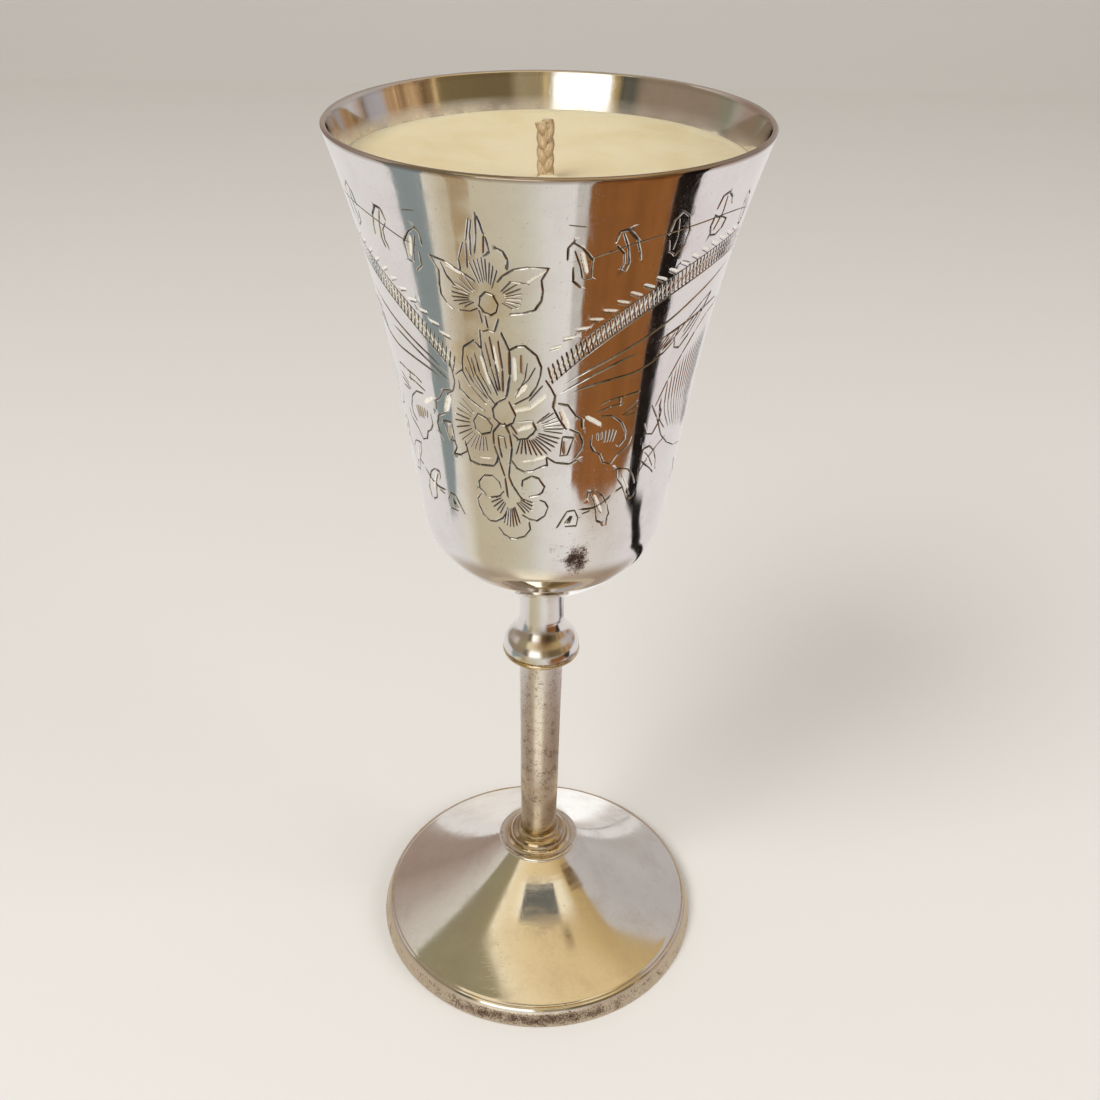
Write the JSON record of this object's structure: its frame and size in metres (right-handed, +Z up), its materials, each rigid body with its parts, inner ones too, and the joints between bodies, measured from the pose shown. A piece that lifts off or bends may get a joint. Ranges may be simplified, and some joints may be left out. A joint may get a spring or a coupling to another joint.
{
  "type": "goblet candle",
  "caption": "Stemmed bell-shaped goblet with an engraved bowl, a knop and a round trumpet foot, filled with a poured candle and braided wick.",
  "frame": {"origin": "centre of the foot's underside, on the table", "axes": "+Z up along the goblet's axis; the wick leans towards -Y, the front"},
  "size_m": [0.072, 0.072, 0.1806],
  "materials": {
    "silver_plate": "polished silver plate on brass, worn and hazed",
    "brass": "turned brass, dull",
    "wax": "smooth cream soy wax",
    "cotton": "braided natural cotton",
    "tin_plate": "bright tin plate",
    "sticker": "white foam tape"
  },
  "bodies": {
    "goblet": {"bowl": "silver_plate", "tie_rod": "brass", "knop": "silver_plate", "stem_tube": "silver_plate", "collar": "silver_plate", "foot": "silver_plate", "foot_washer": "brass", "foot_nut": "brass"},
    "candle": {"wax_fill": "wax", "wick": "cotton", "wick_tab": "tin_plate", "wick_sticker": "sticker"}
  },
  "joints": [
    {"name": "candle_lift", "type": "slide", "parent": "goblet", "child": "candle", "axis": [0, 0, 1], "range_m": [0, 0.09]}
  ]
}
